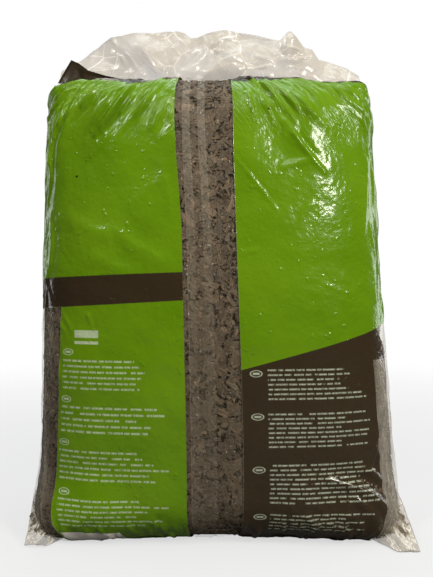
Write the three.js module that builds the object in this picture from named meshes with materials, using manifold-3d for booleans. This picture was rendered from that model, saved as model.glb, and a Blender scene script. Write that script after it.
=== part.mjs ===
// A bag of coloured wood chips: a pillow bag of printed polythene film, and the loose fill inside it.
// Millimetres, +Z up. The bag stands on z = 0 and its seamed side faces -Y.

import * as THREE from 'three';
import Module from 'manifold-3d';

// The filled body, from the floor to the top seal
const BODY_HEIGHT = 645;
const FOOT_WIDTH = 452; // flat base
const FOOT_DEPTH = 100;
const LOW_WIDTH = 512; // widest place, just above the floor
const LOW_DEPTH = 226;
const MIDDLE_WIDTH = 490;
const BELLY_DEPTH = 240;
const SHOULDER_WIDTH = 470;
const SHOULDER_DEPTH = 204;
const SEAL_WIDTH = 444; // the gathered top seal
const SEAL_THICKNESS = 4;
const FOOT_ROUND = 62; // height of the rounding at the floor
const TOP_ROUND = 92; // height of the rounding under the seal
const TOP_SQUARENESS = 3; // 2 gives an ellipse, more gives squarer corners
const SECTION_SQUARENESS = 3;
const MIDDLE_SHARE = 0.45; // where along the wall the middle width and belly depth are

// How the standing bag is bent and gathered
const LEAN = 10; // the top leans towards -X
const CORNER_SWING = 44; // the corners of the foot come forward, as the bottom seal is tucked
const SWING_HEIGHT = 110;
const GATHER_DEPTH = 2.2;
const GATHER_PITCH = 92;
const TOP_GATHER_HEIGHT = 190;
const FOOT_GATHER_HEIGHT = 120;

// Film, lap seam and vents
const FILM = 1; // stands for 0.1 mm film
const LAP_WIDTH = 36;
const LAP_PROUD = 1;
const LAP_BED = 4; // how deep its strip is set into the wall, before the cavity is cut
const LAP_TOP_X = -35;
const LAP_FOOT_X = -17;
const VENT_RADIUS = 1.5;
const VENT_SIDES = 8;
const VENTS = [
  { side: -1, inset: 56, drop: 148 }, // in from the side of the shoulder, and below the top of the body
  { side: 1, inset: 165, drop: 64 },
];

// The loose film above the seal: an outline from left to right, as shares of its width and height
const HEADER_HEIGHT = 88;
const HEADER_LAP = 5; // how far it starts below the top of the body
const HEADER_THICKNESS = 2; // two films
const HEADER_BACK = 16; // its free edge leans towards +Y
const HEADER_WAVE = 7;
const HEADER_WAVES = 3.5;
const HEADER_OUTLINE = [
  { across: 0.0, up: 0.2 },
  { across: 0.05, up: 0.42 },
  { across: 0.135, up: 0.78 },
  { across: 0.37, up: 1.0 },
  { across: 0.445, up: 0.84 },
  { across: 0.56, up: 0.97 },
  { across: 0.7, up: 0.8 },
  { across: 0.775, up: 0.91 },
  { across: 0.83, up: 0.6 },
  { across: 0.9, up: 0.36 },
  { across: 1.0, up: 0.18 },
];

// The two loose corners of the bottom seal: fins that come forward from the body's lower corners
const EAR_THICKNESS = 2;
const EAR_WIDTH = 30; // along its tip
const EAR_RISE = 62; // height of its rear corner, on the wall of the body
const EAR_WAVE = 4;
const LEFT_EAR = { side: -1, reach: 56, spread: 31 }; // how far its tip is forward of the foot and outside it
const RIGHT_EAR = { side: 1, reach: 74, spread: 40 };

// The fill: loose chips, with hollows between the ones that lie against the film
const FILL_CLEARANCE = 0.4;
const CHIP_LENGTH = 25;
const HOLLOW_DEPTH = 10;

// How finely the surfaces are faceted
const RING_POINTS = 56;
const FOOT_ROWS = 5;
const WALL_ROWS = 12;
const TOP_ROWS = 9;
const CAVITY_ROWS_LEFT_OUT = 2; // the film closes on itself under the seal
const HEADER_COLUMNS = 32;
const HEADER_ROWS = 4;
const EAR_COLUMNS = 4;
const EAR_ROWS = 5;

const { lerp, smoothstep } = THREE.MathUtils;
const wasm = await Module();
wasm.setup();

// The smooth curve through three sizes along the wall of the body
function alongWall(z, low, middle, high) {
  const share = (z - FOOT_ROUND) / (BODY_HEIGHT - TOP_ROUND - FOOT_ROUND);
  const lowPart = ((share - MIDDLE_SHARE) * (share - 1)) / MIDDLE_SHARE;
  const middlePart = (share * (share - 1)) / (MIDDLE_SHARE * (MIDDLE_SHARE - 1));
  const highPart = (share * (share - MIDDLE_SHARE)) / (1 - MIDDLE_SHARE);
  return low * lowPart + middle * middlePart + high * highPart;
}

// The heights of the rings, with the share of each rounding that is left at that height
function bodyRows() {
  const rows = [];
  for (let i = 0; i < FOOT_ROWS; i += 1) {
    const turn = ((i / FOOT_ROWS) * Math.PI) / 2;
    rows.push({ z: FOOT_ROUND * (1 - Math.cos(turn)), foot: 1 - Math.sin(turn), top: 0 });
  }
  const wallTop = BODY_HEIGHT - TOP_ROUND;
  for (let i = 0; i < WALL_ROWS; i += 1) {
    rows.push({ z: lerp(FOOT_ROUND, wallTop, i / WALL_ROWS), foot: 0, top: 0 });
  }
  for (let i = 0; i <= TOP_ROWS; i += 1) {
    const turn = ((i / TOP_ROWS) * Math.PI) / 2;
    const climbed = Math.sin(turn) ** (2 / TOP_SQUARENESS);
    const left = Math.max(Math.cos(turn), 0) ** (2 / TOP_SQUARENESS);
    rows.push({ z: wallTop + TOP_ROUND * climbed, foot: 0, top: i === TOP_ROWS ? 1 : 1 - left });
  }
  return rows;
}

function leanAt(z) {
  return -LEAN * smoothstep(z, FOOT_ROUND, BODY_HEIGHT - TOP_ROUND);
}

// Shallow upright folds under the top seal and above the floor
function gatherAt(x, z) {
  const nearTop = smoothstep(z, BODY_HEIGHT - TOP_GATHER_HEIGHT, BODY_HEIGHT - TOP_ROUND);
  const nearFoot = 1 - smoothstep(z, FOOT_ROUND, FOOT_GATHER_HEIGHT);
  const phase = (2 * Math.PI * x) / GATHER_PITCH;
  const top = nearTop * Math.cos(phase + z / TOP_GATHER_HEIGHT);
  const foot = nearFoot * Math.min(z / FOOT_ROUND, 1) * Math.sin(phase);
  return GATHER_DEPTH * (top + foot);
}

// One point of the body's surface, at a turn around its upright axis
function bodyPoint(row, turn) {
  const wallWidth = alongWall(row.z, LOW_WIDTH, MIDDLE_WIDTH, SHOULDER_WIDTH);
  const wallDepth = alongWall(row.z, LOW_DEPTH, BELLY_DEPTH, SHOULDER_DEPTH);
  const footWidth = wallWidth - row.foot * (LOW_WIDTH - FOOT_WIDTH);
  const footDepth = wallDepth - row.foot * (LOW_DEPTH - FOOT_DEPTH);
  const halfWidth = lerp(footWidth, SEAL_WIDTH, row.top) / 2;
  const halfDepth = lerp(footDepth, SEAL_THICKNESS, row.top) / 2;
  const across = Math.cos(turn);
  const forward = Math.sin(turn);
  const power = SECTION_SQUARENESS;
  const reach = (Math.abs(across) ** power + Math.abs(forward) ** power) ** (-1 / power);
  const x = halfWidth * across * reach;
  const gather = gatherAt(x, row.z) * (1 - row.top) * Math.sign(forward) * Math.min(1, 2 * Math.abs(forward));
  const swing = CORNER_SWING * (x / halfWidth) ** 2 * (1 - smoothstep(row.z, 0, SWING_HEIGHT));
  return new THREE.Vector3(x + leanAt(row.z), halfDepth * forward * reach + gather - swing, row.z);
}

function bodyGrid() {
  return bodyRows().map((row) => {
    const ring = [];
    for (let i = 0; i < RING_POINTS; i += 1) {
      ring.push(bodyPoint(row, (2 * Math.PI * i) / RING_POINTS));
    }
    return ring;
  });
}

// The direction that the surface of a grid faces at one of its points
function gridNormal(grid, row, column, closed) {
  const last = grid.length - 1;
  const count = grid[row].length;
  const before = closed ? (column + count - 1) % count : Math.max(column - 1, 0);
  const after = closed ? (column + 1) % count : Math.min(column + 1, count - 1);
  const along = grid[row][after].clone().sub(grid[row][before]);
  const up = grid[Math.min(row + 1, last)][column].clone().sub(grid[Math.max(row - 1, 0)][column]);
  return along.cross(up).normalize();
}

// The same rings moved inwards by one distance, and kept that far above the floor
function insetGrid(grid, distance) {
  const inner = grid.map((ring, row) => ring.map((point, column) => {
    const moved = point.clone().addScaledVector(gridNormal(grid, row, column, true), -distance);
    moved.z = Math.max(moved.z, distance);
    return moved;
  }));
  inner[0].forEach((point) => {
    point.z = distance;
  });
  return inner.slice(0, inner.length - CAVITY_ROWS_LEFT_OUT);
}

// A closed solid from a stack of rings, with a flat fan at each end
function ringSolid(grid) {
  const count = grid[0].length;
  const points = grid.flat();
  const faces = [];
  for (let row = 0; row + 1 < grid.length; row += 1) {
    for (let i = 0; i < count; i += 1) {
      const a = row * count + i;
      const b = row * count + ((i + 1) % count);
      faces.push(a, b, b + count, a, b + count, a + count);
    }
  }
  const topStart = (grid.length - 1) * count;
  const footCentre = points.length;
  const topCentre = points.length + 1;
  points.push(middleOf(grid[0]), middleOf(grid[grid.length - 1]));
  for (let i = 0; i < count; i += 1) {
    const next = (i + 1) % count;
    faces.push(footCentre, next, i, topCentre, topStart + i, topStart + next);
  }
  return solidFrom(points, faces);
}

function middleOf(ring) {
  const sum = ring.reduce((total, point) => total.add(point), new THREE.Vector3());
  return sum.divideScalar(ring.length);
}

// A closed solid of one thickness, half on each side of an open grid of points
function sheetSolid(grid, thickness) {
  const count = grid[0].length;
  const sides = [-thickness / 2, thickness / 2];
  const points = sides.flatMap((offset) => grid.flatMap((line, row) => line.map((point, column) => (
    point.clone().addScaledVector(gridNormal(grid, row, column, false), offset)
  ))));
  const half = grid.length * count;
  const faces = [];
  const quad = (a, b, c, d) => faces.push(a, b, c, a, c, d);
  for (let row = 0; row + 1 < grid.length; row += 1) {
    for (let i = 0; i + 1 < count; i += 1) {
      const a = row * count + i;
      quad(half + a, half + a + 1, half + a + 1 + count, half + a + count);
      quad(a, a + count, a + 1 + count, a + 1);
    }
  }
  const edge = sheetEdge(grid.length, count);
  edge.forEach((here, i) => {
    const next = edge[(i + 1) % edge.length];
    quad(here, next, half + next, half + here);
  });
  return solidFrom(points, faces);
}

// The border of a grid, once round
function sheetEdge(rows, count) {
  const edge = [];
  for (let i = 0; i < count - 1; i += 1) edge.push(i);
  for (let row = 0; row < rows - 1; row += 1) edge.push(row * count + count - 1);
  for (let i = count - 1; i > 0; i -= 1) edge.push((rows - 1) * count + i);
  for (let row = rows - 1; row > 0; row -= 1) edge.push(row * count);
  return edge;
}

function solidFrom(points, faces) {
  const vertProperties = new Float32Array(points.flatMap((point) => [point.x, point.y, point.z]));
  const triVerts = new Uint32Array(faces);
  return new wasm.Manifold(new wasm.Mesh({ numProp: 3, vertProperties, triVerts }));
}

// The point of a ring's front side that has a given x
function frontPoint(ring, x) {
  for (let i = RING_POINTS / 2; i < RING_POINTS; i += 1) {
    const a = ring[i];
    const b = ring[(i + 1) % RING_POINTS];
    if (a.x <= x && x < b.x) return a.clone().lerp(b, (x - a.x) / (b.x - a.x));
  }
  throw new Error('the lap seam lies outside the body');
}

function lapCentre(z) {
  return lerp(LAP_FOOT_X, LAP_TOP_X, z / BODY_HEIGHT);
}

// The overlap of the film along the lap seam, a little proud of the front
function lapSeam(grid) {
  const rows = grid.slice(1, grid.length - 1).map((ring) => {
    const centre = lapCentre(ring[0].z);
    return [-LAP_WIDTH / 2, 0, LAP_WIDTH / 2].map((offset) => frontPoint(ring, centre + offset));
  });
  const bedded = (LAP_PROUD - LAP_BED) / 2;
  const lifted = rows.map((line, row) => line.map((point, column) => (
    point.clone().addScaledVector(gridNormal(rows, row, column, false), bedded)
  )));
  return sheetSolid(lifted, LAP_PROUD + LAP_BED);
}

function headerShareAt(across) {
  const next = Math.max(1, HEADER_OUTLINE.findIndex((point) => point.across >= across - 1e-9));
  const a = HEADER_OUTLINE[next - 1];
  const b = HEADER_OUTLINE[next];
  return lerp(a.up, b.up, (across - a.across) / (b.across - a.across));
}

// The loose film above the top seal
function header() {
  const rows = [];
  for (let row = 0; row <= HEADER_ROWS; row += 1) {
    const line = [];
    for (let column = 0; column <= HEADER_COLUMNS; column += 1) {
      const across = column / HEADER_COLUMNS;
      const up = row / HEADER_ROWS;
      const x = (across - 0.5) * SEAL_WIDTH + leanAt(BODY_HEIGHT);
      const wave = HEADER_WAVE * Math.sin(2 * Math.PI * HEADER_WAVES * across) * up;
      const top = HEADER_HEIGHT * headerShareAt(across);
      line.push(new THREE.Vector3(x, HEADER_BACK * up ** 2 + wave, BODY_HEIGHT + lerp(-HEADER_LAP, top, up)));
    }
    rows.push(line);
  }
  return sheetSolid(rows, HEADER_THICKNESS);
}

// One loose corner of the bottom seal
function ear({ side, reach, spread }) {
  const floor = EAR_THICKNESS / 2;
  const corner = FOOT_WIDTH / 2;
  const tip = -CORNER_SWING - reach;
  const innerRoot = new THREE.Vector3(side * (corner - EAR_WIDTH), -CORNER_SWING, floor);
  const innerTip = new THREE.Vector3(side * (corner + spread - EAR_WIDTH), tip, floor);
  const outerTip = new THREE.Vector3(side * (corner + spread), tip, floor);
  const outerRoot = new THREE.Vector3(side * (LOW_WIDTH / 2 - FILM), -CORNER_SWING, EAR_RISE);
  const rows = [];
  for (let row = 0; row <= EAR_ROWS; row += 1) {
    const inner = innerRoot.clone().lerp(innerTip, row / EAR_ROWS);
    const outer = outerRoot.clone().lerp(outerTip, row / EAR_ROWS);
    const line = [];
    for (let column = 0; column <= EAR_COLUMNS; column += 1) {
      const out = column / EAR_COLUMNS;
      const point = inner.clone().lerp(outer, out);
      point.z += (row % 2) * EAR_WAVE * out * (1 - out);
      line.push(point);
    }
    rows.push(side > 0 ? line : line.reverse());
  }
  return sheetSolid(rows, EAR_THICKNESS);
}

// A needle vent through the front wall, into the cavity
function vent({ side, inset, drop }) {
  const geometry = new THREE.CylinderGeometry(VENT_RADIUS, VENT_RADIUS, BELLY_DEPTH, VENT_SIDES);
  geometry.translate(side * (SHOULDER_WIDTH / 2 - inset), -BELLY_DEPTH / 2, BODY_HEIGHT - drop);
  return weldedSolid(geometry);
}

function weldedSolid(geometry) {
  const position = geometry.toNonIndexed().getAttribute('position');
  const places = new Map();
  const points = [];
  const faces = [];
  for (let i = 0; i < position.count; i += 1) {
    const point = new THREE.Vector3().fromBufferAttribute(position, i);
    const key = point.toArray().map((value) => value.toFixed(4)).join();
    if (!places.has(key)) {
      places.set(key, points.length);
      points.push(point);
    }
    faces.push(places.get(key));
  }
  return solidFrom(points, faces);
}

function namedMesh(name, solid, material) {
  const mesh = solid.getMesh();
  const geometry = new THREE.BufferGeometry();
  geometry.setAttribute('position', new THREE.BufferAttribute(mesh.vertProperties, mesh.numProp));
  geometry.setIndex(new THREE.BufferAttribute(mesh.triVerts, 1));
  geometry.computeVertexNormals();
  const named = new THREE.Mesh(geometry, material);
  named.name = name;
  return named;
}

function bagFilm(grid) {
  const envelope = ringSolid(grid)
    .add(lapSeam(grid))
    .add(header())
    .add(ear(LEFT_EAR))
    .add(ear(RIGHT_EAR));
  const hollow = envelope.subtract(ringSolid(insetGrid(grid, FILM)));
  const vented = VENTS.reduce((solid, place) => solid.subtract(vent(place)), hollow);
  const material = new THREE.MeshStandardMaterial({ color: 0x5a820e, roughness: 0.35, metalness: 0 });
  return namedMesh('bag_film', vented, material);
}

// The same rings, with one more halfway wherever two are further apart than a chip is long
function ringsAtChipLength(grid) {
  return grid.flatMap((ring, row) => {
    const next = grid[row + 1];
    if (!next || next[0].distanceTo(ring[0]) < CHIP_LENGTH) {
      return [ring];
    }
    return [ring, ring.map((point, column) => point.clone().lerp(next[column], 0.5))];
  });
}

// A scattered share from 0 to 1 that is always the same for one place in a grid
function scatteredShare(row, column) {
  const wave = Math.sin(row * 12.9898 + column * 78.233) * 43758.5453;
  return wave - Math.floor(wave);
}

// The rings of a smooth fill, sunk here and there between the chips. The lowest and the highest stay level.
function heapedGrid(grid) {
  return grid.map((ring, row) => {
    if (row === 0 || row === grid.length - 1) {
      return ring;
    }
    return ring.map((point, column) => {
      const hollow = HOLLOW_DEPTH * scatteredShare(row, column);
      const sunk = point.clone().addScaledVector(gridNormal(grid, row, column, true), -hollow);
      sunk.z = Math.max(sunk.z, FILM + FILL_CLEARANCE);
      return sunk;
    });
  });
}

function woodChips(grid) {
  const smooth = insetGrid(grid, FILM + FILL_CLEARANCE);
  const fill = ringSolid(heapedGrid(ringsAtChipLength(smooth)));
  const material = new THREE.MeshStandardMaterial({ color: 0x5b4a35, roughness: 0.95, metalness: 0 });
  return namedMesh('wood_chips', fill, material);
}

// The origin lies on the floor, under the middle of the whole bag
function buildBag() {
  const bag = new THREE.Group();
  const grid = bodyGrid();
  bag.add(bagFilm(grid), woodChips(grid));
  const middle = new THREE.Box3().setFromObject(bag).getCenter(new THREE.Vector3());
  bag.position.set(-middle.x, -middle.y, 0);
  return bag;
}

export default buildBag();
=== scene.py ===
"""An upright bag of brown wood chips in printed polythene film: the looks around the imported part.

Lengths are metres. The film's own coordinates are used for the print and the folds: s runs round the
bag from the middle of the seamed side, positive to the right, and v runs up the film from the floor.
"""

import math

import bpy
import numpy as np
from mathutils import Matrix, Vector


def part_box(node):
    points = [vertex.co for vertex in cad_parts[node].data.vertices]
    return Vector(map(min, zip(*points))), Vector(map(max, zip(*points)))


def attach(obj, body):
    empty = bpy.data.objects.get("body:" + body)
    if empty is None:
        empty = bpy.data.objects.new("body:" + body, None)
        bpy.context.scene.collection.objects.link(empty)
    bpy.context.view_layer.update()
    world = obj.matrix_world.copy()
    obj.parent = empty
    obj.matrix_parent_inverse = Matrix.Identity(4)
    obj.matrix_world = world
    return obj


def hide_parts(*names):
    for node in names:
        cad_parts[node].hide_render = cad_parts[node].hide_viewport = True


MM = 0.001

# The filled body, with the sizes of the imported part
BODY_HEIGHT = 645 * MM
FOOT_WIDTH = 452 * MM
FOOT_DEPTH = 100 * MM
LOW_WIDTH = 512 * MM
LOW_DEPTH = 226 * MM
MIDDLE_WIDTH = 490 * MM
BELLY_DEPTH = 240 * MM
SHOULDER_WIDTH = 470 * MM
SHOULDER_DEPTH = 204 * MM
SEAL_WIDTH = 444 * MM
SEAL_THICKNESS = 4 * MM
FOOT_ROUND = 62 * MM
TOP_ROUND = 92 * MM
TOP_SQUARENESS = 3
SECTION_SQUARENESS = 3
MIDDLE_SHARE = 0.45
LEAN = 10 * MM
CORNER_SWING = 44 * MM
SWING_HEIGHT = 110 * MM
GATHER_DEPTH = 2.2 * MM
GATHER_PITCH = 92 * MM
TOP_GATHER_HEIGHT = 190 * MM
FOOT_GATHER_HEIGHT = 120 * MM

# The fill, with hollows between the chips that lie against the film
FILL_DEPTH = 1.4 * MM
HOLLOW_DEPTH = 10 * MM
PART_RING_POINTS = 56
PART_FOOT_ROWS = 5
PART_WALL_ROWS = 24
PART_TOP_ROWS = 9

# The loose film above the seal
HEADER_HEIGHT = 88 * MM
HEADER_LAP = 5 * MM
HEADER_BACK = 16 * MM
HEADER_WAVE = 7 * MM
HEADER_WAVES = 3.5
HEADER_OUTLINE = [
    (0.0, 0.3), (0.03, 0.42), (0.06, 0.5), (0.1, 0.64), (0.14, 0.77), (0.17, 0.84), (0.22, 0.87),
    (0.28, 0.91), (0.35, 0.98), (0.39, 0.99), (0.415, 0.94), (0.435, 0.84), (0.46, 0.84), (0.5, 0.9),
    (0.55, 0.96), (0.58, 0.96), (0.65, 0.89), (0.7, 0.81), (0.735, 0.78), (0.765, 0.94), (0.775, 0.93),
    (0.8, 0.77), (0.818, 0.68), (0.845, 0.66), (0.868, 0.5), (0.914, 0.46), (0.965, 0.36), (1.0, 0.2),
]
HEADER_ROWS = 70
HEADER_COLUMNS = 380

# The dark printed corner that is folded up at the left end of the top seal
TUCK_OUTLINE = [(-244, -26), (-241, -12), (-229, 8), (-213, 35), (-200, 28), (-187, 18), (-160, 9),
                (-128, 2), (-150, -8), (-214, -24)]
TUCK_RINGS = 9
TUCK_FORWARD = 16 * MM
TUCK_THICKNESS = 1 * MM
TUCK_LEAN = 0.088
PLEAT_DEPTH = 5 * MM
PLEAT_PITCH = 13 * MM
PLEAT_SLANT = 0.55

# The loose corners of the bottom seal
EAR_WIDTH = 30 * MM
EAR_RISE = 62 * MM
LEFT_EAR = {"side": -1, "reach": 56 * MM, "spread": 31 * MM}
RIGHT_EAR = {"side": 1, "reach": 74 * MM, "spread": 40 * MM}
EAR_LIFT = 1.6 * MM
EAR_INSET = 1 * MM
EAR_CROWN = 6 * MM
EAR_ROWS = 56
EAR_COLUMNS = 48

# The film's girth, and where the modelled points are close together
GIRTH = 1250 * MM
FINE_REACH = 290 * MM
FINE_COLUMNS = 286
COARSE_COLUMNS = 68
FOOT_ROWS = 16
WALL_ROWS = 150
TOP_ROWS = 60
REFERENCE_HEIGHT = 300 * MM

# The print, in the film's coordinates
STRIP_LEFT = -38 * MM
STRIP_RIGHT = 35 * MM
STRIP_DRIFT = -14 * MM
DRIFT_FROM = 430 * MM
DRIFT_TO = 680 * MM
GREEN_TOP = 695 * MM
GREEN_TOP_DIP = 20 * MM
DIPS = [(-116 * MM, 48 * MM), (66 * MM, 46 * MM)]
BAND_FOOT = 369 * MM
BAND_TOP = 406 * MM
BAND_FOOT_SLOPE = 0.056
BAND_TOP_SLOPE = 0.036
LEFT_PANEL_EDGE = -209.5 * MM
LEFT_EDGE_SLOPE = 0.034
RIGHT_PANEL_EDGE = 221 * MM
RIGHT_EDGE_SLOPE = 0.03
RIGHT_PANEL_STEP = 287 * MM
PANEL_CORNER = 252 * MM
PANEL_CORNER_SLOPE = 0.35
SLANT_START = 278 * MM
SLANT_SLOPE = 0.264
BACK_PANEL_EDGE = 395 * MM
BACK_PANEL_FOOT = 215 * MM
LEFT_WELD = (-31.5 * MM, -20.5 * MM)
RIGHT_WELD = (-9.5 * MM, 1.5 * MM)
WELD_DRIFT = -9 * MM
EDGE_SOFTNESS = 0.8 * MM
VENT_RADIUS = 1.6 * MM
VENTS = [(-190 * MM, 536 * MM), (87 * MM, 625 * MM)]

# The camera stands level, at this distance from the middle of the bag
CAMERA_DISTANCE = 1.0
CAMERA_HEIGHT = 345 * MM
CAMERA_SENSOR = 24.0
PHOTO_HEIGHT = 577
FOCAL_PIXELS = 676

# How bright the studio's air is where it isn't seen directly, for plain light and in reflections
WORLD_LEVEL = 0.16
MIRRORED_LEVEL = 0.08

# The floor's colour as it is seen, and the darker one with which it lights the film
FLOOR_PALE = (0.4, 0.4, 0.395)
FLOOR_BOUNCE = (0.13, 0.13, 0.128)
FLOOR_SIDES = 96
FLOOR_RADIUS = 7
FLOOR_FADE = (0.3, 2.4)
FLOOR_WHITE = (0.66, 1.0)
WHITE = (1, 1, 1, 1)
WARM_WHITE = (1.0, 0.98, 0.95)
COLD_WHITE = (0.97, 0.98, 1.0)

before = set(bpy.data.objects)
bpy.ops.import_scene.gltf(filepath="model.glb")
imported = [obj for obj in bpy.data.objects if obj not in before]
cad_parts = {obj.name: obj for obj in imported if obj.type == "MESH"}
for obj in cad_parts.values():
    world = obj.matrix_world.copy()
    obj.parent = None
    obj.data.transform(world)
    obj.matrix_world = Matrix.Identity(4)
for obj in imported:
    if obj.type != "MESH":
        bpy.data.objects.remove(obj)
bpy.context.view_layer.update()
fill_low, fill_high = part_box("wood_chips")
AXIS_X = (fill_low.x + fill_high.x) / 2
AXIS_Y = (fill_low.y + fill_high.y) / 2


def smooth(value, low, high):
    """0 below low, 1 above high, and a smooth step between."""
    share = np.clip((value - low) / (high - low), 0, 1)
    return share * share * (3 - 2 * share)


def bell(value, width):
    return np.exp(-(value / width) ** 2)


def lattice(ix, iy, iz, seed):
    """A repeatable random number from 0 to 1 at each whole-numbered place."""
    mixed = (ix * 374761393 + iy * 668265263 + iz * 1274126177 + seed * 974634777) & 0xFFFFFFFF
    mixed = ((mixed ^ (mixed >> 13)) * 1103515245) & 0xFFFFFFFF
    mixed = ((mixed ^ (mixed >> 15)) * 2246822519) & 0xFFFFFFFF
    return ((mixed ^ (mixed >> 16)) & 0xFFFFFF) / 0xFFFFFF


def noise(points, size, seed):
    """Smooth noise from -1 to 1 at an array of places, with lumps of one size."""
    scaled = points / size
    whole = np.floor(scaled).astype(np.int64)
    part = scaled - whole
    part = part * part * (3 - 2 * part)
    total = 0.0
    for step in np.ndindex(2, 2, 2):
        shares = [part[..., axis] if step[axis] else 1 - part[..., axis] for axis in range(3)]
        corner = [whole[..., axis] + step[axis] for axis in range(3)]
        total = total + shares[0] * shares[1] * shares[2] * lattice(*corner, seed)
    return 2 * total - 1


def ridges(points, size, seed):
    """Sharp connected ridges, as in crumpled film, from 0 in the hollows to 1 on the ridges."""
    shifts = [noise(points, size, seed + i) for i in (1, 2, 3)]
    bent = points + size * 0.5 * np.stack(shifts, axis=-1)
    return (1 - np.abs(noise(bent, size, seed))) ** 3


# The shape of the body

def along_wall(z, low, middle, high):
    """The smooth curve through three sizes along the wall of the body."""
    share = (z - FOOT_ROUND) / (BODY_HEIGHT - TOP_ROUND - FOOT_ROUND)
    low_part = (share - MIDDLE_SHARE) * (share - 1) / MIDDLE_SHARE
    middle_part = share * (share - 1) / (MIDDLE_SHARE * (MIDDLE_SHARE - 1))
    high_part = share * (share - MIDDLE_SHARE) / (1 - MIDDLE_SHARE)
    return low * low_part + middle * middle_part + high * high_part


def body_rows():
    """Heights of the rings, with the share of the foot's and the top's rounding that each has."""
    rows = []
    for i in range(FOOT_ROWS):
        turn = i / FOOT_ROWS * math.pi / 2
        rows.append((FOOT_ROUND * (1 - math.cos(turn)), 1 - math.sin(turn), 0))
    wall_top = BODY_HEIGHT - TOP_ROUND
    for i in range(WALL_ROWS):
        rows.append((FOOT_ROUND + (wall_top - FOOT_ROUND) * i / WALL_ROWS, 0, 0))
    for i in range(TOP_ROWS + 1):
        turn = i / TOP_ROWS * math.pi / 2
        climbed = math.sin(turn) ** (2 / TOP_SQUARENESS)
        left = max(math.cos(turn), 0) ** (2 / TOP_SQUARENESS)
        rows.append((wall_top + TOP_ROUND * climbed, 0, 1 if i == TOP_ROWS else 1 - left))
    return np.array(rows)


def body_points(rows, turns):
    """The smooth surface of the body, as rings of points. A turn of 0 is the middle of the seamed side."""
    z, foot, top = (rows[:, i][:, None] for i in range(3))
    turn = turns[None, :]
    wall_width = along_wall(z, LOW_WIDTH, MIDDLE_WIDTH, SHOULDER_WIDTH)
    wall_depth = along_wall(z, LOW_DEPTH, BELLY_DEPTH, SHOULDER_DEPTH)
    foot_width = wall_width - foot * (LOW_WIDTH - FOOT_WIDTH)
    foot_depth = wall_depth - foot * (LOW_DEPTH - FOOT_DEPTH)
    half_width = (foot_width + (SEAL_WIDTH - foot_width) * top) / 2
    half_depth = (foot_depth + (SEAL_THICKNESS - foot_depth) * top) / 2
    across = np.sin(turn)
    forward = -np.cos(turn)
    power = SECTION_SQUARENESS
    reach = (np.abs(across) ** power + np.abs(forward) ** power) ** (-1 / power)
    x = half_width * across * reach
    phase = 2 * np.pi * x / GATHER_PITCH
    near_top = smooth(z, BODY_HEIGHT - TOP_GATHER_HEIGHT, BODY_HEIGHT - TOP_ROUND)
    near_foot = 1 - smooth(z, FOOT_ROUND, FOOT_GATHER_HEIGHT)
    gather = near_top * np.cos(phase + z / TOP_GATHER_HEIGHT)
    gather = gather + near_foot * np.minimum(z / FOOT_ROUND, 1) * np.sin(phase)
    gather = GATHER_DEPTH * gather * (1 - top) * np.sign(forward) * np.minimum(1, 2 * np.abs(forward))
    swing = CORNER_SWING * (x / half_width) ** 2 * (1 - smooth(z, 0, SWING_HEIGHT))
    lean = LEAN * smooth(z, FOOT_ROUND, BODY_HEIGHT - TOP_ROUND)
    y = half_depth * forward * reach + gather - swing
    return np.stack([x - lean + AXIS_X, y + AXIS_Y, z + 0 * turn], axis=-1)


def even_turns():
    """Turns that put the columns evenly on the film, and close together on the seamed side."""
    half = GIRTH / 2
    left = np.linspace(-half, -FINE_REACH, COARSE_COLUMNS, endpoint=False)
    middle = np.linspace(-FINE_REACH, FINE_REACH, FINE_COLUMNS, endpoint=False)
    right = np.linspace(FINE_REACH, half, COARSE_COLUMNS, endpoint=False)
    wanted = np.concatenate([left, middle, right]) / GIRTH
    fine = np.linspace(-np.pi, np.pi, 4001)
    ring = body_points(np.array([[REFERENCE_HEIGHT, 0, 0]]), fine)[0]
    run = np.concatenate([[0], np.cumsum(np.linalg.norm(np.diff(ring, axis=0), axis=1))])
    return np.interp(wanted, run / run[-1] - 0.5, fine)


def film_coordinates(points):
    """s and v at every point of the rings. s is scaled so that every ring has the film's girth."""
    closed = np.concatenate([points, points[:, :1]], axis=1)
    steps = np.linalg.norm(np.diff(closed, axis=1), axis=-1)
    run = np.concatenate([np.zeros((len(points), 1)), np.cumsum(steps, axis=1)], axis=1)
    s = (run / run[:, -1:] - 0.5) * GIRTH
    middle = points[:, points.shape[1] // 2]
    v = np.concatenate([[0], np.cumsum(np.linalg.norm(np.diff(middle, axis=0), axis=1))])
    return s, np.repeat(v[:, None], s.shape[1], axis=1)


def ring_normals(points):
    """The outward direction at every point of the closed rings."""
    along = np.roll(points, -1, axis=1) - np.roll(points, 1, axis=1)
    up = np.gradient(points, axis=0)
    normal = np.cross(along, up)
    return normal / (np.linalg.norm(normal, axis=-1, keepdims=True) + 1e-12)


# Folds, each from one place on the film to another

FOLD_POINTS = 24


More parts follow.
